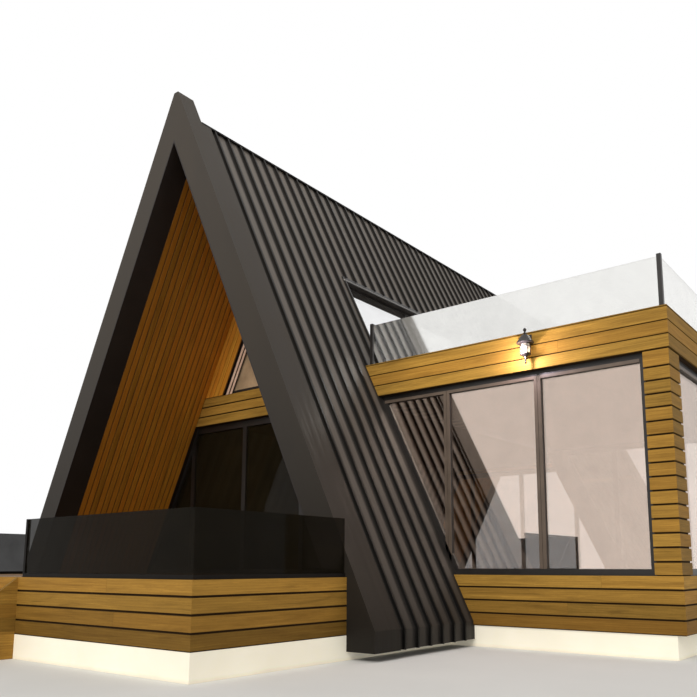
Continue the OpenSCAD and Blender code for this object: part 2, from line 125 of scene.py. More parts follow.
class CabinBoards(bpy.types.PropertyGroup):
    """Sizes of the timber boards."""
    gap: length("Cladding gap", "Shadow gap between two courses of cladding", 0.024, 0.004, 0.03)
    thickness: length("Cladding thickness", "Thickness of a cladding board", 0.022, 0.012, 0.03)
    chamfer: length("Cladding chamfer", "Chamfer along a cladding board's edges", 0.003, 0.001, 0.008)
    shortest: length("Shortest board", "Shortest length of a cladding board", 2.6, 1.0, 4.0)
    longest: length("Longest board", "Longest length of a cladding board", 4.6, 2.0, 6.0)
    course: length("Wing course", "Height of one course on the wing's posts", 0.19, 0.12, 0.3)
    soffit_width: length("Soffit board width", "Width of the porch lining boards", 0.122, 0.08, 0.2)
    deck_width: length("Deck board width", "Width of a deck board with its gap", 0.145, 0.09, 0.2)
    deck_gap: length("Deck board gap", "Gap between deck boards", 0.006, 0.003, 0.01)
    seed: IntProperty(name="Seed", description="Picks the board lengths and tones", default=7, min=0)


class CabinMetal(bpy.types.PropertyGroup):
    """Sizes of the folded metal."""
    seam_width: length("Seam width", "Width of a standing seam at its top fold", 0.030, 0.01, 0.04)
    seam_foot: length("Seam foot", "Width of a standing seam at the sheet", 0.040, 0.02, 0.04)
    edge: length("Sheet edge", "Rounding of folded sheet edges", 0.006, 0.001, 0.02)
    sash: length("Sash rail", "Height of the sliding sashes' top rails", 0.050, 0.03, 0.09)


class CabinColours(bpy.types.PropertyGroup):
    """Main colours, as linear values."""
    cladding: shade("Cladding", "Middle tone of the cladding boards", 0.42, 0.238, 0.046)
    soffit: shade("Porch lining", "Middle tone of the porch lining boards", 0.86, 0.385, 0.042)
    decking: shade("Deck boards", "Middle tone of the deck boards", 0.26, 0.15, 0.06)
    roof: shade("Roof sheet", "Colour of the seamed roof sheet", 0.158, 0.139, 0.122)
    portal: shade("Portal sheet", "Colour of the flat portal sheet", 0.054, 0.045, 0.036)
    frames: shade("Frames", "Colour of frames, posts and the lantern", 0.016, 0.013, 0.011)
    concrete: shade("Concrete", "Colour of the plinths", 0.98, 0.93, 0.78)


class CabinStage(bpy.types.PropertyGroup):
    """Camera and light."""
    place: FloatVectorProperty(name="Camera place", description="Place of the camera",
                               default=(10.536, -7.716, 1.2), size=3, subtype="XYZ", unit="LENGTH")
    turn: FloatVectorProperty(name="Camera turn", description="Pitch from straight down, roll and heading",
                              default=(math.radians(98.98), 0.0, math.radians(37.54)), size=3, subtype="EULER")
    lens: number("Lens", "Focal length for a 36 mm frame, in millimetres", 38.68, min=1)
    shift_x: number("Shift X", "Sideways shift of the frame", -0.0387)
    shift_y: number("Shift Y", "Upward shift of the frame", 0.1435)
    sky: number("Sky light", "Strength of the even light from the sky", 0.55, min=0)
    sun: number("Soft light", "Strength of the broad lamp", 1.5, min=0)
    lamp: number("Lantern light", "Power of the wall lantern", 34.0, min=0, unit="POWER")
    wash: number("Lantern wash", "Power of the lantern's wide light on the wall", 5.0, min=0, unit="POWER")


# ---------------------------------------------------------------- shading helpers

def rgb(colour, red=1.0, green=None, blue=None):
    """A colour with its channels scaled; one scale serves all three."""
    scales = (red, red if green is None else green, red if blue is None else blue)
    return tuple(min(1.0, channel * scale) for channel, scale in zip(colour[:3], scales)) + (1.0,)


class Shader:
    """Short calls for the nodes of one material or world."""

    def __init__(self, owner):
        owner.use_nodes = True
        self.owner = owner
        self.tree = owner.node_tree
        self.tree.nodes.clear()

    def add(self, kind, inputs=None, **settings):
        """Adds a node: settings are its attributes, inputs are values or sockets to link."""
        node = self.tree.nodes.new("ShaderNode" + kind)
        for key, value in settings.items():
            setattr(node, key, value)
        for key, value in (inputs or {}).items():
            if isinstance(value, bpy.types.NodeSocket):
                self.tree.links.new(value, node.inputs[key])
            else:
                node.inputs[key].default_value = value
        return node

    def spot(self):
        return self.add("TexCoord").outputs["Object"]

    def axis(self, vector, letter):
        return self.add("SeparateXYZ", {"Vector": vector}).outputs[letter]

    def stretch(self, vector, *scale):
        return self.add("Mapping", {"Vector": vector, "Scale": scale}).outputs["Vector"]

    def noise(self, vector, scale, detail, rough, bend=0.0):
        return self.add("TexNoise", {"Vector": vector, "Scale": scale, "Detail": detail,
                                     "Roughness": rough, "Distortion": bend}).outputs["Fac"]

    def ramp(self, factor, *stops):
        """Colour ramp through (place, colour or grey) stops."""
        node = self.add("ValToRGB", {"Fac": factor})
        bar = node.color_ramp
        while len(bar.elements) < len(stops):
            bar.elements.new(0.5)
        for element, (place, value) in zip(bar.elements, stops):
            element.position = place
            element.color = rgb(value) if hasattr(value, "__len__") else (value, value, value, 1.0)
        return node.outputs["Color"]

    def tones(self, factor, colour, *stops):
        """Ramp through (place, brightness) stops of one colour."""
        return self.ramp(factor, *((place, rgb(colour, scale)) for place, scale in stops))

    def mix(self, factor, first, second, mode="MIX"):
        return self.add("Mix", {0: factor, 6: first, 7: second}, data_type="RGBA", blend_type=mode).outputs[2]

    def cover(self, under, factor, over, *stops):
        """Lays a colour over another, by a ramp of (place, share) stops."""
        return self.mix(self.ramp(factor, *stops), under, over)

    def calc(self, operation, first, second=0.0):
        return self.add("Math", {0: first, 1: second}, operation=operation).outputs[0]

    def times(self, first, second):
        return self.calc("MULTIPLY", first, second)

    def total(self, *parts):
        """Sum of (socket, weight) pairs."""
        result = None
        for socket, weight in parts:
            part = self.times(socket, weight)
            result = self.calc("ADD", result, part) if result else part
        return result

    def bump(self, height, distance, strength, under=None):
        inputs = {"Height": height, "Distance": distance, "Strength": strength}
        if under:
            inputs["Normal"] = under
        return self.add("Bump", inputs).outputs["Normal"]

    def surface(self, **values):
        """Principled surface that ends the tree; gives back the material."""
        names = {"colour": "Base Color", "rough": "Roughness", "normal": "Normal", "metal": "Metallic",
                 "alpha": "Alpha", "specular": "Specular IOR Level", "glow": "Emission Color",
                 "glow_power": "Emission Strength"}
        shader = self.add("BsdfPrincipled", {names[key]: value for key, value in values.items()})
        self.add("OutputMaterial", {"Surface": shader.outputs[0]})
        return self.owner


# ---------------------------------------------------------------- finishes

def board_timber(t, colour, rough=0.5, spread=0.3, sheen=0.0, warmth=0.0, shaded_top=False):
    """Oiled boards: flames and pores run with each board, every board has its own tone."""
    grain = t.add("UVMap", uv_map="Grain").outputs["UV"]
    tone = t.add("Attribute", attribute_name="tone").outputs["Fac"]
    edge = t.add("Attribute", attribute_name="edge").outputs["Fac"]
    spot = t.spot()
    figure = t.noise(t.stretch(grain, 0.55, 9.0, 1.0), 1.6, 5.0, 0.6, 0.9)
    flame = t.add("TexWave", {"Vector": t.stretch(grain, 0.10, 3.2, 1.0), "Scale": 3.4, "Distortion": 7.5,
                              "Detail": 3.0, "Detail Scale": 1.2, "Detail Roughness": 0.6},
                  wave_type="BANDS", bands_direction="Y").outputs["Fac"]
    fibre = t.noise(t.stretch(grain, 2.2, 170.0, 1.0), 1.5, 3.0, 0.6)
    pores = t.noise(t.stretch(grain, 14.0, 420.0, 1.0), 1.0, 2.0, 0.5)
    weather = t.noise(spot, 0.7, 4.0, 0.6)
    wood = t.tones(figure, colour, (0.28, 0.46), (0.47, 0.92), (0.62, 1.14), (0.78, 1.62))
    wood = t.mix(t.times(flame, 0.34), wood, rgb(colour, 0.55))
    wood = t.cover(wood, fibre, rgb(colour, 0.40), (0.35, 0.42), (0.62, 0.0))
    wood = t.cover(wood, pores, rgb(colour, 0.30), (0.30, 0.55), (0.42, 0.0))
    wood = t.mix(1.0, wood, t.ramp(tone, (0.0, 1.0 - spread), (0.5, 1.0), (1.0, 1.0 + 0.55 * spread)), "MULTIPLY")
    # A second scatter over the same tone picks the boards that are warmer
    scatter = t.calc("FRACT", t.times(tone, 7.31))
    wood = t.mix(t.times(scatter, 0.25 + warmth), wood, rgb(colour, 1.12, 0.80, 0.55))
    wood = t.cover(wood, weather, rgb(colour, 0.62), (0.42, 0.0), (0.75, 0.28))
    # Painted shade on each board's chamfers and sides, and darker end grain on its ends, from the edge flag
    wood = t.mix(t.times(edge, 0.55), wood, rgb(colour, 0.28))
    if shaded_top:
        # Painted shade: the boards darken towards the top of the porch
        rise = t.calc("DIVIDE", t.axis(spot, "Z"), Levels.outer_peak)
        wood = t.mix(1.0, wood, t.ramp(rise, (0.12, 1.0), (0.42, 0.84), (0.75, 0.70)), "MULTIPLY")
    relief = t.total((fibre, 0.7), (figure, 0.5), (pores, 0.25))
    dull = t.ramp(t.total((fibre, 0.6), (weather, 0.4)), (0.2, rough - 0.10), (0.8, rough + 0.14))
    return t.surface(colour=wood, rough=dull, normal=t.bump(relief, 0.0012, 0.55), specular=0.35 + sheen)


def seamed_sheet(t, colour, rough, streak, seam_shade=None):
    """Coated folded sheet: rain streaks, dust, slight waves, painted shade that darkens it towards its foot and
    painted shade along the seams.
    """
    spot = t.spot()
    streaks = t.noise(t.stretch(spot, 1.0, 16.0, 0.45), 1.0, 5.0, 0.62)
    clouds = t.noise(spot, 0.55, 4.0, 0.6)
    grit = t.noise(spot, 240.0, 2.0, 0.5)
    waves = t.noise(t.stretch(spot, 1.0, 3.4, 1.1), 1.0, 1.5, 0.4)
    tint = t.tones(streaks, colour, (0.25, 0.78), (0.5, 1.0), (0.78, 1.0 + 0.42 * streak))
    tint = t.cover(tint, clouds, rgb(colour, 1.5, 1.42, 1.32), (0.35, 0.0), (0.75, 0.35))
    tint = t.mix(t.times(grit, 0.10), tint, rgb(colour, 2.4))
    # Painted shade: the sheet darkens towards its foot
    rise = t.calc("DIVIDE", t.axis(spot, "Z"), Levels.length / 2)
    tint = t.cover(tint, rise, rgb(colour, 0.22), (0.03, 0.97), (0.16, 0.70), (0.45, 0.42), (1.0, 0.0))
    # Painted shade of the seams: a dark band each side of every seam
    if seam_shade:
        first, step = seam_shade
        part = t.calc("FRACT", t.calc("DIVIDE", t.calc("SUBTRACT", t.axis(spot, "Y"), first), step))
        tint = t.cover(tint, part, rgb(colour, 0.12),
                       (0.0, 1.0), (0.20, 0.92), (0.36, 0.0), (0.66, 0.0), (0.82, 0.92), (1.0, 1.0))
    dull = t.ramp(t.total((streaks, 0.6), (clouds, 0.4)), (0.3, rough - 0.07), (0.7, rough + 0.12))
    soft = t.bump(waves, 0.010, 0.30)
    return t.surface(colour=tint, rough=dull, normal=t.bump(grit, 0.0003, 0.35, soft), specular=0.15)


def painted_metal(t, colour, rough=0.38, specular=0.5):
    """Powder-coated frames: fine orange peel, dust in the corners and light rubbing."""
    spot = t.spot()
    peel = t.noise(spot, 420.0, 2.0, 0.5)
    dust = t.noise(spot, 2.3, 5.0, 0.62)
    scuff = t.noise(t.stretch(spot, 30.0, 30.0, 2.5), 1.0, 3.0, 0.6)
    tint = t.tones(dust, colour, (0.3, 0.82), (0.55, 1.0), (0.8, 1.45))
    tint = t.cover(tint, scuff, rgb(colour, 2.6), (0.62, 0.0), (0.8, 0.22))
    dull = t.ramp(t.total((dust, 0.6), (scuff, 0.4)), (0.25, rough - 0.06), (0.75, rough + 0.14))
    return t.surface(colour=tint, rough=dull, normal=t.bump(peel, 0.0004, 0.3), specular=specular)


def smooth_concrete(t, colour, glow=0.0):
    """Rendered concrete: cloudy tone, fine pores, faint trowel marks and a soiled foot."""
    spot = t.spot()
    clouds = t.noise(spot, 0.9, 6.0, 0.6, 0.4)
    trowel = t.noise(t.stretch(spot, 1.0, 1.0, 3.0), 7.0, 5.0, 0.65, 0.8)
    pores = t.add("TexVoronoi", {"Vector": spot, "Scale": 55.0}).outputs["Distance"]
    sand = t.noise(spot, 180.0, 3.0, 0.6)
    tint = t.tones(clouds, colour, (0.3, 0.90), (0.55, 1.0), (0.8, 1.08))
    tint = t.cover(tint, trowel, rgb(colour, 0.86, 0.84, 0.80), (0.45, 0.0), (0.8, 0.16))
    foot = t.total((t.axis(spot, "Z"), 1.0), (clouds, 0.05))
    tint = t.cover(tint, foot, rgb(colour, 0.62, 0.58, 0.50), (0.03, 0.38), (0.075, 0.0))
    pits = t.ramp(pores, (0.02, 0.0), (0.10, 1.0))
    tint = t.mix(pits, rgb(colour, 0.62), tint)
    relief = t.total((trowel, 0.5), (sand, 0.25), (pits, 0.3))
    # glow makes the surface glow: painted light
    return t.surface(colour=tint, rough=t.ramp(trowel, (0.2, 0.72), (0.8, 0.9)), specular=0.3,
                     normal=t.bump(relief, 0.0016, 0.5), glow=(1.0, 0.93, 0.76, 1.0), glow_power=glow)


def pane_normal(t, spot):
    return t.bump(t.noise(spot, 0.8, 1.0, 0.4), 0.004, 0.25)


def coated_glass(t, mirror, share, blur=0.0):
    """Sun-coated pane: a thin tinted mirror that lets part of the light through."""
    spot = t.spot()
    film = t.noise(spot, 3.0, 5.0, 0.65)
    veil = t.ramp(film, (0.35, max(0.0, share - 0.015)), (0.75, min(1.0, share + 0.02)))
    return t.surface(colour=t.tones(film, mirror, (0.3, 0.97), (0.7, 1.02)), metal=1.0, alpha=veil,
                     rough=t.ramp(film, (0.4, 0.004 + blur), (0.85, 0.03 + blur)), normal=pane_normal(t, spot))


def tinted_glass(t, colour, share, shine, lit=0.0):
    """Smoked pane with plain reflection."""
    spot = t.spot()
    film = t.noise(spot, 2.2, 5.0, 0.65)
    tint = t.tones(film, colour, (0.3, 0.8), (0.7, 1.3))
    veil = t.ramp(film, (0.35, max(0.0, share - 0.02)), (0.75, min(1.0, share + 0.03)))
    # lit makes the pane glow in its own tint: painted light
    return t.surface(colour=tint, rough=t.ramp(film, (0.4, 0.01), (0.85, 0.05)), alpha=veil, specular=shine,
                     glow=tint, glow_power=lit, normal=pane_normal(t, spot))


def lantern_pane(t):
    """Seeded glass in front of the bulb."""
    seeds = t.noise(t.spot(), 160.0, 2.0, 0.5)
    return t.surface(colour=t.ramp(seeds, (0.3, (0.92, 0.86, 0.72)), (0.7, (1.0, 0.96, 0.86))), alpha=0.42,
                     rough=t.ramp(seeds, (0.3, 0.08), (0.8, 0.2)), normal=t.bump(seeds, 0.001, 0.6),
                     glow=(1.0, 0.92, 0.74, 1.0), glow_power=0.45)


def glowing_bulb(t):
    """Hot, slightly uneven glass of the bulb."""
    hot = t.noise(t.spot(), 60.0, 1.0, 0.5)
    return t.surface(colour=t.ramp(hot, (0.3, (1.0, 0.9, 0.7)), (0.7, (1.0, 0.95, 0.85))), rough=0.3,
                     glow=(1.0, 0.90, 0.70, 1.0), glow_power=3.0)


def seam_rhythm():
    """Middle of the first seam and the spacing of the seams along the ridge."""
    edges = sorted({round(vert.co.y, 3) for vert in NODES["roof_seams"].data.vertices})
    return (edges[0] + edges[1]) / 2, edges[2] - edges[0]


FINISHES = {}


def finish(name):
    """The finish of that name, made once from the colours in the sidebar."""
    if name not in FINISHES:
        c = bpy.context.scene.cabin_colours
        maker, label, *values = {
            "cladding": (board_timber, "cladding_timber", c.cladding, 0.62, 0.62, -0.25),
            "soffit": (board_timber, "soffit_timber", c.soffit, 0.5, 0.42, -0.1, 0.2, True),
            "decking": (board_timber, "deck_timber", c.decking, 0.58),
            "membrane": (painted_metal, "wall_membrane", (0.040, 0.022, 0.010), 0.8, 0.1),
            "roof": (seamed_sheet, "roof_metal", c.roof, 0.46, 1.0, seam_rhythm()),
            # Seams and ridge capping are the roof's sheet made darker: painted shade
            "seams": (seamed_sheet, "seam_metal", rgb(c.roof, 0.11), 0.40, 0.6),
            "capping": (seamed_sheet, "capping_metal", rgb(c.roof, 0.08), 0.45, 0.5),
            "portal": (seamed_sheet, "portal_metal", c.portal, 0.50, 0.5),
            "reveal": (painted_metal, "reveal_panel", (0.020, 0.014, 0.011), 0.55, 0.35),
            "frames": (painted_metal, "dark_metal", c.frames),
            "rails": (painted_metal, "rail_metal", rgb(c.frames, 0.55), 0.60, 0.12),
            # The sashes' paler bronze is a painted reflection on the rails and stiles
            "sashes": (painted_metal, "sash_metal", (0.125, 0.092, 0.068), 0.40),
            "pale_frame": (painted_metal, "pale_frame", (0.95, 0.66, 0.50), 0.45),
            "flashing": (painted_metal, "grey_flashing", (0.42, 0.39, 0.36), 0.40),
            # The plinth's glow is painted light from strip lighting under the boards
            "concrete": (smooth_concrete, "plinth_concrete", c.concrete, 0.16),
            "screed": (smooth_concrete, "dark_screed", (0.16, 0.13, 0.10)),
            "wing_glass": (coated_glass, "wing_glass", (0.94, 0.77, 0.66), 0.43),
            "rear_glass": (coated_glass, "rear_glass", (0.60, 0.52, 0.45), 0.34),
            "terrace_glass": (coated_glass, "terrace_glass", (0.92, 0.915, 0.89), 0.78, 0.05),
            "slope_glass": (coated_glass, "slope_glass", (1.0, 1.0, 1.0), 0.80),
            "porch_glass": (tinted_glass, "porch_glass", (0.016, 0.012, 0.006), 0.70, 0.10),
            # The gable pane glows: painted light
            "gable_glass": (tinted_glass, "gable_glass", (0.36, 0.25, 0.15), 0.85, 0.3, 0.18),
            "deck_glass": (tinted_glass, "deck_glass", (0.010, 0.008, 0.005), 0.76, 0.03),
            "lantern_glass": (lantern_pane, "lamp_glass"),
            "bulb": (glowing_bulb, "lamp_bulb"),
        }[name]
        FINISHES[name] = maker(Shader(bpy.data.materials.new(label)), *values)
    return FINISHES[name]


def dress(name, edge, *nodes):
    """Gives solids of the construction model a finish, and eased edges where asked."""
    for node in nodes:
        piece = NODES[node]
        if not piece.data.materials:
            piece.data.materials.append(finish(name))
        for slot in piece.material_slots:
            slot.material = finish(name)
        if edge:
            eased = piece.modifiers.new("Eased edges", "BEVEL")
            eased.width = edge
            eased.segments = 2
            eased.limit_method = "ANGLE"
            eased.angle_limit = math.radians(40)


def dark_edges(through, *nodes):
    """Gives the hidden edges of panes in frames the frames' finish. The panes are thin along that axis."""
    for node in nodes:
        data = NODES[node].data
        data.materials.append(finish("frames"))
        for face in data.polygons:
            if abs(face.normal[through]) < 0.5:
                face.material_index = len(data.materials) - 1


# ---------------------------------------------------------------- mesh makers

def linked(name, data):
    """New object in the scene."""
    made = bpy.data.objects.new(name, data)
    bpy.context.collection.objects.link(made)
    return made


def light(name, kind, power, colour, **settings):
    """New light; settings are its attributes."""
    data = bpy.data.lights.new(name, kind)
    data.energy, data.color = power, colour
    for key, value in settings.items():
        setattr(data, key, value)
    return linked(name, data)


def keep(mesh, name, finishes, stands_for, smooth=False):
    """Turns a bmesh into a piece that rides on the cabin and stands for its solids."""
    bmesh.ops.recalc_face_normals(mesh, faces=mesh.faces)
    data = bpy.data.meshes.new(name)
    mesh.to_mesh(data)
    mesh.free()
    for each in finishes:
        data.materials.append(finish(each))
    if smooth:
        data.shade_smooth()
    piece = linked(name, data)
    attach(piece, "root")
    if stands_for:
        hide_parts(*stands_for)


def skin(mesh, rings):
    """Joins a run of rings with faces and closes both ends."""
    for lower, upper in zip(rings, rings[1:]):
        for i in range(len(lower)):
            j = (i + 1) % len(lower)
            mesh.faces.new((lower[i], lower[j], upper[j], upper[i]))
    mesh.faces.new(rings[0])
    mesh.faces.new(rings[-1])


def turned(mesh, centre, profile, turns=32):
    """Turned part: profile is (radius, height) from foot to head."""
    angles = [2 * math.pi * i / turns for i in range(turns)]
    skin(mesh, [[mesh.verts.new(centre + Vector((radius * math.cos(angle), radius * math.sin(angle), height)))
                 for angle in angles] for radius, height in profile])


def round_bar(mesh, points, radius, sides=10):
    """Round bar through points."""
    rings = []
    for i, point in enumerate(points):
        run = (points[min(len(points) - 1, i + 1)] - points[max(0, i - 1)]).normalized()
        side = run.cross(UP if abs(run.z) < 0.9 else EAST).normalized()
        other = run.cross(side)
        rings.append([mesh.verts.new(point + side * radius * math.cos(turn) + other * radius * math.sin(turn))
                      for turn in (2 * math.pi * k / sides for k in range(sides))])
    skin(mesh, rings)


def eased_box(mesh, first, last, ease=0.003):
    """Box between two corners with eased edges."""
    made = bmesh.ops.create_cube(mesh, size=1.0)["verts"]
    first, last = Vector(first), Vector(last)
    for vert in made:
        vert.co = [(a + b) / 2 + unit * abs(b - a) for a, b, unit in zip(first, last, vert.co)]
    edges = list({edge for vert in made for edge in vert.link_edges})
    bmesh.ops.bevel(mesh, geom=edges, offset=ease, segments=1, affect="EDGES", profile=0.5)


def rect(width, thick):
    return [(0, -thick), (0, 0), (width, 0), (width, -thick)]


def even(first, last, count):
    return [first + (last - first) * i / count for i in range(count + 1)]


class Boards:
    """Collects boards in one mesh. Each board has its own grain and tone, painted shade on its chamfers and sides,
    and darker end grain on its ends.
    """
    # Least length of a course's last board, and half the width of a butt joint
    end_piece, joint = 0.9, 0.001

    def __init__(self, seed):
        self.sizes = bpy.context.scene.cabin_boards
        self.mesh = bmesh.new()
        self.grain = self.mesh.loops.layers.uv.new("Grain")
        self.tone = self.mesh.faces.layers.float.new("tone")
        # The edge flag marks the faces that get painted shade, and the ends with their darker end grain
        self.edge = self.mesh.faces.layers.float.new("edge")
        self.pick = random.Random(seed + self.sizes.seed)
        self.tones = (0.0, 1.0)

    def prism(self, origin, axes, section, start, end, slot=0, fronts=()):
        """Closed bar of a section. start and end are (distance, change per width, change per depth)."""
        along, across, out = axes
        rings = [[self.mesh.verts.new(origin + along * (far + by_width * a + by_depth * d) + across * a + out * d)
                  for a, d in section] for far, by_width, by_depth in (start, end)]
        shift = Vector((self.pick.uniform(0, 40), self.pick.uniform(0, 12)))
        tone = self.tones[0] + (self.tones[1] - self.tones[0]) * self.pick.random()

        def face(corners, spots, edge):
            made = self.mesh.faces.new(corners)
            made[self.tone], made[self.edge] = tone, edge
            made.material_index = slot
            for loop, spot in zip(made.loops, spots):
                loop[self.grain].uv = Vector(spot) + shift

        path = 0.0
        count = len(section)
        for i in range(count):
            j = (i + 1) % count
            past = path + math.hypot(section[j][0] - section[i][0], section[j][1] - section[i][1])
            face((rings[0][i], rings[0][j], rings[1][j], rings[1][i]),
                 ((start[0], path), (start[0], past), (end[0], past), (end[0], path)), 0.0 if i in fronts else 1.0)
            path = past
        for ring in rings:
            face(ring, [(a * 0.3, d) for a, d in section], 1.0)

    def board(self, origin, axes, width, thick, start, end, chamfer=0.003, slot=0):
        """Board with chamfered front edges; the origin lies on its front plane."""
        c = chamfer
        section = [(0, -thick), (0, -c), (c, 0), (width - c, 0), (width, -c), (width, -thick)]
        self.prism(origin, axes, section, start, end, slot, fronts=(2,))

    def courses(self, origin, axes, levels, start, end, gap=None, one_piece=False, graded=False, thick=None,
                chamfer=None):
        """Courses of boards between levels, split at staggered joints. Graded courses are paler towards the top."""
        sizes = self.sizes
        gap = gap or sizes.gap
        for base, top in zip(levels, levels[1:]):
            if graded:
                height = (base - levels[0]) / (levels[-2] - levels[0])
                self.tones = (0.62 * height, 0.12 + 0.88 * height)
            foot = base + gap / 2
            first, last = ((spot[0] + spot[1] * foot, spot[1], spot[2]) for spot in (start, end))
            ends = [first]
            spot = first[0] + self.pick.uniform(0.35, 1.0) * sizes.longest
            while not one_piece and spot < last[0] - self.end_piece:
                ends += [(spot - self.joint, 0, 0), (spot + self.joint, 0, 0)]
                spot += self.pick.uniform(sizes.shortest, sizes.longest)
            ends.append(last)
            for a, b in zip(ends[::2], ends[1::2]):
                self.board(origin + axes[1] * foot, axes, top - base - gap, thick or sizes.thickness, a, b,
                           chamfer or sizes.chamfer)

    def piece(self, name, *stands_for, finishes=("cladding", "membrane"), slot="cladding_timber"):
        keep(self.mesh, name, finishes, stands_for)


# ---------------------------------------------------------------- wall geometry

# A wall is its corner, its axes (along, up, out) and where its boards start and end. Such an end is
# (distance, change per height, change per depth), and the last is set where the boards are mitred.

def walls_round(x0, y0, x1, y1):
    """South, east, north and west walls round a plan, mitred at all corners."""
    return [(Vector((x, y, 0)), (along, UP, out), (0, 0, -1), (run, 0, 1)) for x, y, along, out, run in (
        (x0, y0, EAST, SOUTH, x1 - x0), (x1, y0, NORTH, EAST, y1 - y0),
        (x1, y1, WEST, NORTH, x1 - x0), (x0, y1, SOUTH, WEST, y1 - y0))]


def wing_walls():
    """Front, side and rear of the wing; the front and rear die into the roof's sheet."""
    south, east, north, _ = walls_round(0, Levels.wing_y0, Levels.wing_x, Levels.wing_y1)
    bury = 0.02
    roof = Levels.half(0, Levels.seam) - bury
    return [(*south[:2], (roof, -1 / Levels.fall, 0), south[3]), east,
            (*north[:3], (Levels.wing_x - roof, 1 / Levels.fall, 0))]


def behind(start, end, level, inset):
    """A wall's ends for a layer that begins at a level, set in at mitred corners."""
    return [(spot[0] + spot[1] * level + (way * inset if spot[2] else 0), spot[1], spot[2])
            for spot, way in ((start, 1), (end, -1))]


def laid(start, end, level, inset=0.0):
    """A wall's ends for a plank laid flat: square at the roof, mitred at the corners."""
    return [(spot[0] + way * inset, way, 0) if spot[2] else (spot[0] + spot[1] * level, 0, 0)
            for spot, way in ((start, 1), (end, -1))]


def slope_axes(side):
    """Directions up a roof slope and into it; side is 1 in the east and -1 in the west."""
    return Vector((-side * Levels.pc, 0, Levels.ps)), Vector((-side * Levels.ps, 0, -Levels.pc))


def gable_slopes(node, width):
    """For both sides of both gables: the foot on the band, the axes and the ends of a strip along the roof."""
    ends = (0, Levels.pc / Levels.ps, 0), (width / Levels.pc, -Levels.fall, 0)
    for y, out in ((low(node).y, SOUTH), (high(node).y, NORTH)):
        for side in (1, -1):
            yield Vector((side * width, y, Levels.band)), (*slope_axes(side), out), *ends


# ---------------------------------------------------------------- operators

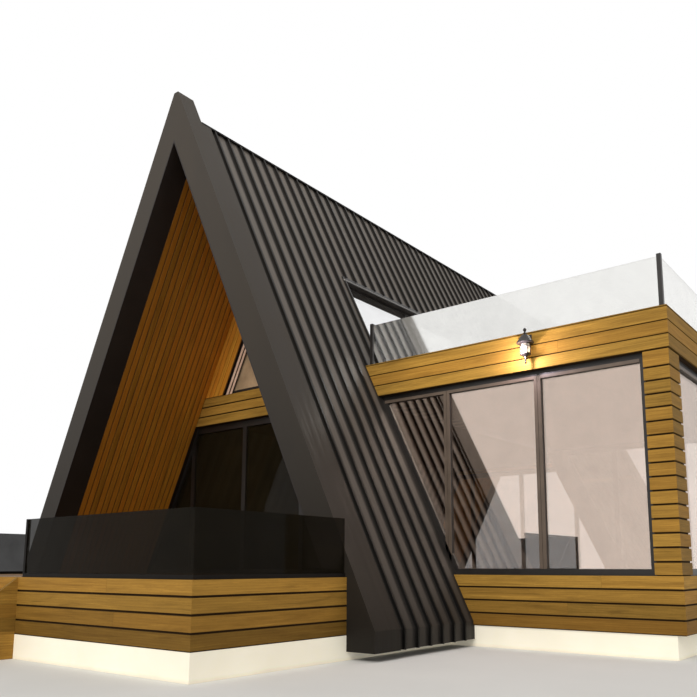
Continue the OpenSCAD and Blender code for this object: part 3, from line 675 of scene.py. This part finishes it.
class CABIN_OT_wall_boards(bpy.types.Operator):
    """Clad the deck, the wing, its corner posts and the parapet with horizontal boards"""
    bl_idname = "cabin.wall_boards"
    bl_label = "Wall boards"

    def base(self, work, wall, head, clear, depth):
        """Four graded courses above a plinth, with a dark backing that ends below their head."""
        corner, axes, start, end = wall
        t = work.sizes.thickness
        work.courses(corner, axes, even(Levels.plinth, head + work.sizes.gap / 2, 4), start, end, graded=True)
        work.prism(corner - axes[2] * t + UP * Levels.plinth, axes, rect(head - clear - Levels.plinth, depth - t),
                   *behind(start, end, Levels.plinth, t), 1)

    def deck(self):
        work = Boards(1)
        depth = max(0.03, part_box("deck_cladding")[1][0] - abs(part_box("deck_boards")[0][0]))
        south, east, _, west = walls_round(-Levels.deck_x, Levels.deck_y, Levels.deck_x, 0)
        # The sides end square against the portal
        for wall in ((*west[:2], (0, 0, 0), west[3]), south, (*east[:3], (-Levels.deck_y, 0, 0))):
            self.base(work, wall, Levels.floor, 0.004, depth)
        work.piece("deck_wall_boards", "deck_cladding")

    def wing_base(self):
        work = Boards(2)
        t = work.sizes.thickness
        sill_wide = low("wing_frame_front").y - Levels.wing_y0 + 0.02 - t
        sill_thick = 0.014
        for wall in wing_walls():
            self.base(work, wall, Levels.sill, 0.006, 0.038)
            corner, axes, start, end = wall
            top = corner - axes[2] * t + UP * (Levels.sill - 0.001)
            work.board(top, (axes[0], -axes[2], UP), sill_wide, sill_thick, *laid(start, end, Levels.sill, t),
                       work.sizes.chamfer, 2)
        work.piece("wing_base_boards", "wing_cladding", finishes=("cladding", "membrane", "frames"))

    def posts(self):
        work = Boards(3)
        t = work.sizes.thickness
        first, last = low("wing_posts"), high("wing_posts")
        deep = low("wing_frame_side").y - first.y
        core_x, core_y = last.x - first.x - 2 * t, deep - 2 * t
        # The courses go on from those of the base, and the last one is never a thin strip
        least, rise = 0.06, work.sizes.course
        rows = [Levels.plinth + rise * i for i in range(math.ceil((Levels.head - least - Levels.plinth) / rise))]
        levels = [max(z, Levels.sill) for z in rows if z > Levels.sill - 0.02] + [Levels.head]
        for y in (first.y, last.y - deep):
            for corner, axes, start, end in walls_round(first.x, y, last.x, y + deep):
                # South faces get paler tones than the others: painted light
                work.tones = (0.50, 1.0) if axes[2] is SOUTH else (0.10, 0.50)
                work.courses(corner, axes, levels, start, end, one_piece=True)
            work.prism(Vector((first.x + t, y + t, 0)), (UP, EAST, SOUTH),
                       [(0, 0), (0, -core_y), (core_x, -core_y), (core_x, 0)],
                       (Levels.sill, 0, 0), (Levels.head, 0, 0), 1)
        work.piece("wing_post_boards", "wing_posts")

    def parapet(self):
        work = Boards(4)
        s = work.sizes
        t = s.thickness
        cap = 0.020
        thick = Levels.wing_x - high("terrace_slab").x
        top = Levels.band - cap
        foot = Levels.head + 0.006
        for corner, axes, start, end in wing_walls():
            # South faces get paler tones than the others: painted light
            work.tones = (0.65, 1.0) if axes[2] is SOUTH else (0.2, 0.6)
            work.courses(corner, axes, even(Levels.head, top, 3), start, end, s.gap * 0.6)
            work.courses(corner - axes[2] * thick, (axes[0], UP, -axes[2]), even(Levels.terrace + 0.004, top, 1),
                         *((far, by_height, -mitre) for far, by_height, mitre in behind(start, end, 0, thick)))
            # Core between both skins, then the coping and the dark board under the parapet, whose dark finish is
            # painted shade
            skin_back = corner - axes[2] * t
            work.prism(skin_back + UP * foot, axes, rect(top - 0.002 - foot, thick - 2 * t),
                       *behind(start, end, foot, t), 1)
            work.board(corner + UP * Levels.band, (axes[0], -axes[2], UP), thick, cap - 0.003,
                       *laid(start, end, Levels.band))
            work.board(skin_back + UP * (Levels.head + 0.001), (axes[0], -axes[2], -UP), thick - t, 0.005,
                       *laid(start, end, foot, t), 0.001, 1)
        work.piece("parapet_boards", "parapet")

    def bands(self):
        work = Boards(5)
        t = work.sizes.thickness
        deep = 0.22
        half = Levels.half(0, Levels.lining) + 0.01
        ends = (-half, 1 / Levels.fall, 0), (half, -1 / Levels.fall, 0)
        foot = Levels.head + 0.003
        core_high = Levels.band - 0.002 - foot
        work.tones = (0.7, 1.0)
        for y, out in ((low("timber_band").y, SOUTH), (high("timber_band").y, NORTH)):
            for face, facing in ((y, out), (y - out.y * deep, -out)):
                work.courses(Vector((0, face, 0)), (EAST, UP, facing), even(Levels.head, Levels.band, 3), *ends)
            work.prism(Vector((0, y, foot)) - out * t, (EAST, UP, out), rect(core_high, deep - 2 * t),
                       *behind(*ends, foot, 0), 1)
        work.piece("timber_band_boards", "timber_band")

    def execute(self, context):
        self.deck()
        self.wing_base()
        self.posts()
        self.parapet()
        self.bands()
        return {"FINISHED"}


class CABIN_OT_gable_boards(bpy.types.Operator):
    """Board the gable walls along the roof slope"""
    bl_idname = "cabin.gable_boards"
    bl_label = "Gable boards"

    def execute(self, context):
        work = Boards(6)
        # The gable boards get pale tones: painted light from the porch
        work.tones = (0.85, 1.0)
        t = work.sizes.thickness
        deep, gap = 0.16, 0.006
        inner = Levels.half(Levels.band, Levels.lining)
        margin = (inner - high("gable_frame").x) * Levels.ps
        levels = even(0, margin, 4)
        for foot, (along, across, out), start, end in gable_slopes("gable_wall", inner):
            work.courses(foot, (along, across, out), levels, start, end, gap)
            work.prism(foot - out * t, (along, across, out), rect(margin, deep - 2 * t), start, end, 1)
            work.courses(foot - out * deep, (along, across, -out), levels, start, end, gap)
        work.piece("gable_boards", "gable_wall", finishes=("soffit", "reveal"), slot="soffit_timber")
        return {"FINISHED"}


class CABIN_OT_porch_lining(bpy.types.Operator):
    """Line both porches with narrow boards that run up the slope"""
    bl_idname = "cabin.porch_lining"
    bl_label = "Porch lining"

    def execute(self, context):
        work = Boards(7)
        y0, y1 = low("porch_lining").y, Levels.porch_y
        rows = even(y0, y1, round((y1 - y0) / work.sizes.soffit_width))
        # The boards lie on a dark panel whose faces are at these depths
        thick = 0.025
        face, back = 0.006 - thick, 0.002 - thick
        foot_x = Levels.half(Levels.floor, Levels.lining + thick)
        for side in (1, -1):
            along, out = slope_axes(side)
            start = (0, 0, Levels.pc / Levels.ps)
            end = (foot_x / Levels.pc, 0, -Levels.fall)
            for lines, way in ((rows, NORTH), ([Levels.length - y for y in rows], SOUTH)):
                base = Vector((side * foot_x, 0, Levels.floor)) + NORTH * lines[0]
                spots = [abs(y - lines[0]) for y in lines]
                # Graded boards grow paler towards the band: painted light in the porch
                work.courses(base, (along, way, out), spots, start, end, 0.016, True, True, thick - 0.002, 0.006)
                work.prism(base, (along, way, out), [(0, back), (0, face), (spots[-1], face), (spots[-1], back)],
                           start, end, 1)
        work.piece("porch_lining_boards", "porch_lining", finishes=("soffit", "reveal"), slot="soffit_timber")
        return {"FINISHED"}


class CABIN_OT_deck_planks(bpy.types.Operator):
    """Lay the deck and both porch floors, and build the entrance steps"""
    bl_idname = "cabin.deck_planks"
    bl_label = "Deck and steps"

    def planks(self):
        work = Boards(8)
        s = work.sizes
        axes = (EAST, NORTH, UP)
        first, last = low("deck_boards"), high("deck_boards")
        under = 0.004
        porch_x = Levels.half(Levels.floor, Levels.lining)
        porch = low("porch_frame").y
        for y0, y1, half in ((first.y, 0.0, last.x), (0.0, porch, porch_x),
                             (Levels.length - porch, Levels.length, porch_x)):
            rows = even(y0, y1, max(1, round((y1 - y0) / s.deck_width)))
            for a, b in zip(rows, rows[1:]):
                ends = [-half]
                spot = -half + work.pick.uniform(1.2, 3.6)
                while spot < half - 0.8:
                    ends.append(spot)
                    spot += work.pick.uniform(2.4, 4.0)
                ends.append(half)
                for p, q in zip(ends, ends[1:]):
                    work.board(Vector((0, a + s.deck_gap / 2, last.z)), axes, b - a - s.deck_gap,
                               last.z - first.z - under, (p + work.joint, 0, 0), (q - work.joint, 0, 0))
            work.prism(Vector((0, y0, first.z + under)), axes, rect(y1 - y0, under), (-half, 0, 0), (half, 0, 0), 1)
        work.piece("deck_planks", "deck_boards", finishes=("decking", "membrane"), slot="deck_timber")

    def steps(self):
        work = Boards(9)
        work.tones = (0.3, 0.8)
        first, last = low("entrance_steps"), high("entrance_steps")
        risers = 6
        rise = last.z / risers
        going = (last.y - first.y) / (risers - 0.5)
        cheek, tread, board, gap, joint = 0.06, 0.04, 0.02, 0.005, 0.0008
        inner = last.x - cheek
        ends = (0.001 - inner, 0, 0), (inner - 0.001, 0, 0)
        # Cheeks of thick planks laid one above the other and cut along the flight
        for x in (last.x, -inner):
            for i in range(risers):
                begin = (last.y - going * (risers - i), going / rise, 0) if i else (first.y, 0.0, 0)
                work.prism(Vector((x, 0, i * rise + joint)), (NORTH, UP, EAST), rect(rise - 2 * joint, cheek),
                           begin, (last.y, 0, 0), 0, (1, 3))
        for i in range(1, risers):
            back = last.y - going * (risers - 1 - i)
            z = i * rise
            nosing = back - going - board
            half_tread = (back - nosing - gap) / 2
            for k in range(2):
                work.board(Vector((0, nosing + k * (half_tread + gap), z)), (EAST, NORTH, UP), half_tread, tread,
                           *ends, 0.005)
            foot = 0.0 if i == 1 else (i - 1) * rise - tread
            work.board(Vector((0, back - going, foot)), (EAST, UP, SOUTH), z - tread - foot, board, *ends, 0.002)
        work.piece("entrance_flight", "entrance_steps", finishes=("cladding",), slot="deck_timber")

    def execute(self, context):
        self.planks()
        self.steps()
        return {"FINISHED"}


class CABIN_OT_metalwork(bpy.types.Operator):
    """Fold the standing seams and finish the roof sheets, portals, reveals and flashings"""
    bl_idname = "cabin.metalwork"
    bl_label = "Roof and portals"

    def seams(self, m):
        work = Boards(10)
        top = high("roof_seams").z
        # Lowest point of each seam, by slope and by the place of its first edge
        feet = {}
        for vert in NODES["roof_seams"].data.vertices:
            key = (vert.co.x > 0, round(vert.co.y, 3))
            feet[key] = min(feet.get(key, top), vert.co.z)
        w, f, h = m.seam_width / 2, m.seam_foot / 2, Levels.seam
        half_profile = [(f, 0.0), (f * 0.94, h * 0.10), (w, h * 0.16), (w, h * 0.60), (w + 0.003, h * 0.64),
                        (w + 0.003, h * 0.93), (w - 0.002, h)]
        profile = [(-a, d) for a, d in half_profile] + [(a, d) for a, d in reversed(half_profile)]

        bend = "bend"
        for east, y in sorted(feet):
            if (east, round(y + m.seam_foot, 3)) not in feet:
                continue
            foot = feet[(east, y)]
            rings = []
            for level in (foot, bend, top) if foot < Levels.knee else (foot, top):
                rings.append([])
                for a, d in profile:
                    upright = Levels.foot_x - (h - d)
                    z = Levels.apex(h - d) - Levels.fall * upright if level is bend else level
                    x = min(Levels.half(z, h - d), upright)
                    rings[-1].append(work.mesh.verts.new((x if east else -x, y + m.seam_foot / 2 + a, z)))
            skin(work.mesh, rings)
        work.piece("standing_seams", "roof_seams", finishes=("seams",), slot="roof_metal")

    def flashing(self):
        """Folded strip that sheds the rain above the terrace window."""
        work = Boards(13)
        first, last = low("terrace_window_frame"), high("terrace_window_frame")
        along, inwards = slope_axes(1)
        wide, thick = 0.045, 0.010
        foot = last.z - 0.120 * Levels.ps
        spot = Vector((Levels.half(foot, Levels.seam - 0.020), first.y, foot))
        section = [(0.0, -0.004), (0.0, thick), (wide * 0.7, thick), (wide, 0.002), (wide, -0.004)]
        work.prism(spot, (NORTH, along, -inwards), section, (0, 0, 0), (last.y - first.y, 0, 0))
        work.piece("window_flashing", finishes=("flashing",), slot="roof_metal")

    def execute(self, context):
        m = context.scene.cabin_metal
        self.seams(m)
        dress("roof", 0.003, "roof_left", "roof_right_front", "roof_right_rear", "roof_right_upper",
              "roof_right_lower")
        dress("capping", 0.004, "ridge_cap")
        dress("portal", m.edge, "portal_front", "portal_rear")
        dress("reveal", 0.0, "portal_reveals")
        dress("frames", 0.003, "terrace_window_frame")
        self.flashing()
        return {"FINISHED"}


class CABIN_OT_glazing(bpy.types.Operator):
    """Finish the frames and panes, and add the sliding sashes, beads and gable bars"""
    bl_idname = "cabin.glazing"
    bl_label = "Frames and glass"

    def pane_edges(self, node, axis):
        """Pairs of pane edges along X or Y, taken at the heads of the panes."""
        verts = NODES[node].data.vertices
        top = max(vert.co.z for vert in verts)
        spots = sorted({round(vert.co[axis], 3) for vert in verts if vert.co.z > top - 0.002})
        return list(zip(spots[::2], spots[1::2]))

    def sash_bars(self, work, node, axis, face, out, rail, slope=None):
        """Sliding sashes: a stile each side of a mullion and a top rail over each pane."""
        along = NORTH if axis else EAST
        base, top = low(node).z, high(node).z
        panes = self.pane_edges(node, axis)
        deep, part = 0.014, 0.003
        for (_, before), (after, _) in zip(panes, panes[1:]):
            middle = (before + after) / 2
            for first, last in ((before, middle - part), (middle + part, after)):
                foot = max(base, Levels.apex(slope) - Levels.fall * first) if slope else base
                work.prism(face + along * first + out * deep, (UP, along, out), rect(last - first, deep),
                           (foot, -Levels.fall if foot > base else 0, 0), (top + rail, 0, 0))
        for first, last in panes:
            if slope and first == panes[0][0]:
                first = Levels.half(top + 0.001, slope) + 0.012
            work.prism(face + UP * (top + 0.001) + out * deep, (along, UP, out), rect(rail, deep),
                       (first, 0, 0), (last, 0, 0))
        if slope:
            # Dark cover strip where the panes meet the roof
            upwards, inwards = slope_axes(1)
            foot = face + EAST * Levels.half(base, slope) + UP * base + out * deep
            lean = -Levels.pc / Levels.ps
            work.prism(foot, (upwards, -inwards, out), rect(0.055, deep), (0, lean, 0),
                       ((top - base) / Levels.ps, lean, 0), 1)

    def sashes(self, rail):
        work = Boards(11)
        for node, frame_y, out in (("wing_glass_front", low("wing_frame_front").y, SOUTH),
                                   ("wing_glass_rear", high("wing_frame_rear").y, NORTH)):
            self.sash_bars(work, node, 0, Vector((0, frame_y, 0)), out, rail, Levels.seam)
        self.sash_bars(work, "wing_glass_side", 1, Vector((high("wing_frame_side").x, 0, 0)), EAST, rail)
        work.piece("wing_sashes", finishes=("sashes", "frames"), slot="dark_metal")

    def gable_bars(self):
        """A dark casement with two pale beads at each gable window."""
        work = Boards(12)
        thick = 0.012
        for foot, axes, start, end in gable_slopes("gable_frame", high("gable_frame").x):
            for offset, wide, proud, slot in ((0.0, 0.215, thick, 1), (0.042, 0.060, 0.022, 0),
                                              (0.142, 0.054, 0.022, 0)):
                work.prism(foot + axes[1] * offset + axes[2] * proud, axes, rect(wide, thick),
                           *behind(start, end, offset, 0), slot)
        work.piece("gable_frame_bars", finishes=("pale_frame", "reveal"), slot="pale_frame")

    def execute(self, context):
        dress("frames", 0.003, "porch_frame", "rear_frame", "wing_frame_front", "wing_frame_side", "wing_frame_rear")
        dress("reveal", 0.003, "gable_frame")
        self.gable_bars()
        self.sashes(context.scene.cabin_metal.sash)
        dress("wing_glass", 0.0, "wing_glass_front", "wing_glass_side")
        dress("rear_glass", 0.0, "wing_glass_rear", "rear_glass")
        dress("porch_glass", 0.0, "porch_glass")
        dress("gable_glass", 0.0, "gable_glass")
        dress("slope_glass", 0.0, "terrace_window_glass")
        dress("terrace_glass", 0.0, "terrace_glass")
        dress("deck_glass", 0.0, "deck_rail_glass")
        dark_edges(1, "wing_glass_front", "wing_glass_rear", "rear_glass", "porch_glass", "gable_glass")
        dark_edges(0, "wing_glass_side")
        dress("rails", 0.002, "deck_rail_metal")
        dress("frames", 0.002, "terrace_posts")
        return {"FINISHED"}


class CABIN_OT_concrete(bpy.types.Operator):
    """Finish the plinths, platforms, slab and upper floor"""
    bl_idname = "cabin.concrete"
    bl_label = "Concrete and floors"

    def execute(self, context):
        dress("concrete", 0.004, "plinth_main", "plinth_wing")
        dress("screed", 0.0, "floor_platform", "wing_platform", "terrace_slab")
        dress("membrane", 0.0, "upper_floor")
        return {"FINISHED"}


class CABIN_OT_lantern(bpy.types.Operator):
    """Build the wall lantern with its cap, cage, bulb, arm and plate, and light it"""
    bl_idname = "cabin.lantern"
    bl_label = "Wall lantern"

    def metal(self, centre, r, base, cap, rim):
        """Cap, foot, cage, arm and plate. r is the pane's radius, base and cap its levels."""
        wall = Levels.wing_y0
        first, last = low("lantern_body"), high("lantern_body")
        mesh = bmesh.new()
        # Cap as shares of its radius and height, from the rim to the tip
        hood = [(0.97, 0.0), (1.0, 0.026), (1.0, 0.08), (0.86, 0.17), (0.70, 0.30), (0.50, 0.46), (0.30, 0.55),
                (0.17, 0.59), (0.13, 0.63), (0.19, 0.67), (0.13, 0.71), (0.08, 0.75), (0.17, 0.82), (0.20, 0.89),
                (0.14, 0.96), (0.03, 1.0)]
        cap_r = (last.x - first.x) / 2
        turned(mesh, centre, [(cap_r * wide, rim + (last.z - rim) * tall) for wide, tall in hood])
        # Foot: a drop below a dish
        drop = [(0.003, 0.0), (0.007, 0.012), (0.004, 0.024), (0.012, 0.045), (0.018, 0.060), (0.012, 0.072)]
        dish = [(0.022, 0.050), (0.045, 0.036), (r + 0.016, 0.016), (r + 0.020, 0.008), (r + 0.018, 0.0)]
        turned(mesh, centre, [(wide, first.z + up) for wide, up in drop]
               + [(wide, base - down) for wide, down in dish])
        turned(mesh, centre, [(r + 0.012, rim - 0.012), (r + 0.016, rim - 0.010), (r + 0.016, rim)])
        for k in range(4):
            angle = math.radians(45 + 90 * k)
            side = Vector((math.cos(angle), math.sin(angle), 0)) * (r + 0.008)
            round_bar(mesh, [centre + side * wide + UP * z for wide, z in (
                (1.0, base - 0.004), (1.10, base + 0.06), (1.12, base + 0.11), (1.02, rim + 0.006))], 0.006)
        turned(mesh, centre, [(r + 0.003, base + 0.108), (r + 0.009, base + 0.112), (r + 0.003, base + 0.116)])
        # Arm with a scroll under it, and the wall plate
        arm = cap + 0.036
        round_bar(mesh, [Vector((centre.x, y, z)) for y, z in (
            (centre.y, arm), (centre.y + 0.05, arm + 0.012), (wall - 0.012, arm))], 0.009, 12)
        scroll = []
        for i in range(15):
            angle = math.pi * 1.6 * i / 14
            radius = 0.034 - 0.0014 * i
            scroll.append(Vector((centre.x, wall - 0.050 + radius * math.cos(angle) * 0.9,
                                  arm - 0.045 - radius * math.sin(angle))))
        round_bar(mesh, scroll, 0.005, 8)
        plate = 0.042
        foot = max(first.z, cap - 0.045)
        for half, inset, back, front in ((plate, 0.0, 0.0005, 0.009), (plate * 0.7, 0.014, 0.008, 0.014)):
            eased_box(mesh, (centre.x - half, wall - front, foot + inset),
                      (centre.x + half, wall - back, arm + 0.055 - inset))
        keep(mesh, "lantern_metal", ["frames"], ["lantern_body"])

    def execute(self, context):
        stage = context.scene.cabin_stage
        first, last = low("lantern_glass"), high("lantern_glass")
        body_x = (low("lantern_body").x + high("lantern_body").x) / 2
        centre = Vector((body_x, (first.y + last.y) / 2, 0))
        r = (last.x - first.x) / 2
        base, cap = first.z, last.z
        rim = cap - 0.080
        self.metal(centre, r, base, cap, rim)
        pane = bmesh.new()
        turned(pane, centre, [(r * 0.80, base), (r * 0.94, base + 0.03), (r, base + 0.09), (r, base + 0.12),
                              (r * 0.92, rim)])
        keep(pane, "lantern_pane", ["lantern_glass"], ["lantern_glass"], True)
        bulb = bmesh.new()
        turned(bulb, centre, [(wide, base + up) for wide, up in (
            (0.013, 0.0), (0.014, 0.035), (0.022, 0.055), (0.030, 0.085), (0.029, 0.108), (0.018, 0.128),
            (0.004, 0.136))], 24)
        keep(bulb, "lantern_bulb", ["bulb"], [], True)
        lamp = light("lantern_light", "POINT", stage.lamp, (1.0, 0.86, 1.0), shadow_soft_size=0.035)
        lamp.location = (centre.x - 0.05, Levels.wing_y0 - 0.30, base - 0.02)
        # A strip that faces the wall stands for the lantern's wide glow and leaves the roof dark
        wash = light("lantern_wash", "AREA", stage.wash, (1.0, 0.90, 0.72), shape="RECTANGLE", size=3.2, size_y=0.2)
        wash.location = (centre.x - 0.7, Levels.wing_y0 - 0.6, base + 0.1)
        wash.rotation_euler = (math.radians(90), 0.0, 0.0)
        wash.visible_camera = False
        wash.visible_glossy = False
        return {"FINISHED"}


class CABIN_OT_stage(bpy.types.Operator):
    """Set up the floor, the soft light and the camera at the picture's viewpoint"""
    bl_idname = "cabin.stage"
    bl_label = "Stage"

    def floor(self):
        reach = 90
        mesh = bmesh.new()
        mesh.faces.new([mesh.verts.new((x, y, -0.001)) for x, y in (
            (-reach, -reach), (reach, -reach), (reach, reach), (-reach, reach))])
        data = bpy.data.meshes.new("stage_floor")
        mesh.to_mesh(data)
        mesh.free()
        t = Shader(bpy.data.materials.new("pale_floor"))
        tint = t.ramp(t.noise(t.spot(), 0.6, 3.0, 0.5), (0.3, (0.73, 0.73, 0.72)), (0.7, (0.76, 0.76, 0.75)))
        data.materials.append(t.surface(colour=tint, rough=0.9, specular=0.1))
        floor = linked("stage_floor", data)

    def execute(self, context):
        s = context.scene.cabin_stage
        scene = context.scene
        self.floor()

        scene.world = bpy.data.worlds.new("white_sky")
        t = Shader(scene.world)
        path = t.add("LightPath").outputs
        seen = t.calc("MAXIMUM", path["Is Camera Ray"], path["Is Glossy Ray"])
        seen = t.calc("MAXIMUM", seen, path["Is Transmission Ray"])
        shown = t.add("Background", {"Color": (1.0, 1.0, 1.0, 1.0), "Strength": 1.0})
        lit = t.add("Background", {"Color": (1.0, 0.985, 0.955, 1.0), "Strength": s.sky})
        both = t.add("MixShader", {0: seen, 1: lit.outputs[0], 2: shown.outputs[0]})
        t.add("OutputWorld", {"Surface": both.outputs[0]})

        sun = light("broad_lamp", "SUN", s.sun, (1.0, 0.965, 0.91), angle=math.radians(28))
        sun.rotation_euler = Vector((0.20, -0.74, 0.64)).to_track_quat("Z", "Y").to_euler()

        lens = bpy.data.cameras.new("viewpoint")
        lens.sensor_width = 36
        lens.lens = s.lens
        lens.shift_x, lens.shift_y = s.shift_x, s.shift_y
        lens.clip_end = 400
        scene.camera = linked("viewpoint", lens)
        scene.camera.location = s.place
        scene.camera.rotation_euler = Euler(s.turn)
        scene.view_settings.view_transform = "Standard"
        return {"FINISHED"}


class CABIN_PT_panel(bpy.types.Panel):
    """Sizes, colours and building steps of the cabin"""
    bl_idname = "CABIN_PT_panel"
    bl_label = "A-frame cabin"
    bl_space_type = "VIEW_3D"
    bl_region_type = "UI"
    bl_category = "Cabin"

    def draw(self, context):
        for name, _ in GROUPS:
            group = getattr(context.scene, name)
            box = self.layout.box()
            for key in group.bl_rna.properties.keys():
                if key not in ("rna_type", "name"):
                    box.prop(group, key)
        for step in STEPS:
            self.layout.operator(step.bl_idname)


GROUPS = (("cabin_boards", CabinBoards), ("cabin_metal", CabinMetal),
          ("cabin_colours", CabinColours), ("cabin_stage", CabinStage))
STEPS = (CABIN_OT_concrete, CABIN_OT_wall_boards, CABIN_OT_gable_boards, CABIN_OT_porch_lining,
         CABIN_OT_deck_planks, CABIN_OT_metalwork, CABIN_OT_glazing, CABIN_OT_lantern, CABIN_OT_stage)


def register():
    for name, group in GROUPS:
        bpy.utils.register_class(group)
        setattr(bpy.types.Scene, name, PointerProperty(type=group))
    for each in STEPS + (CABIN_PT_panel,):
        bpy.utils.register_class(each)


def unregister():
    for each in reversed(STEPS + (CABIN_PT_panel,)):
        bpy.utils.unregister_class(each)
    for name, group in reversed(GROUPS):
        delattr(bpy.types.Scene, name)
        bpy.utils.unregister_class(group)


def main():
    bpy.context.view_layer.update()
    register()
    bpy.ops.cabin.concrete()
    bpy.ops.cabin.wall_boards()
    bpy.ops.cabin.gable_boards()
    bpy.ops.cabin.porch_lining()
    bpy.ops.cabin.deck_planks()
    bpy.ops.cabin.metalwork()
    bpy.ops.cabin.glazing()
    bpy.ops.cabin.lantern()
    bpy.ops.cabin.stage()


if __name__ == "__main__":
    main()
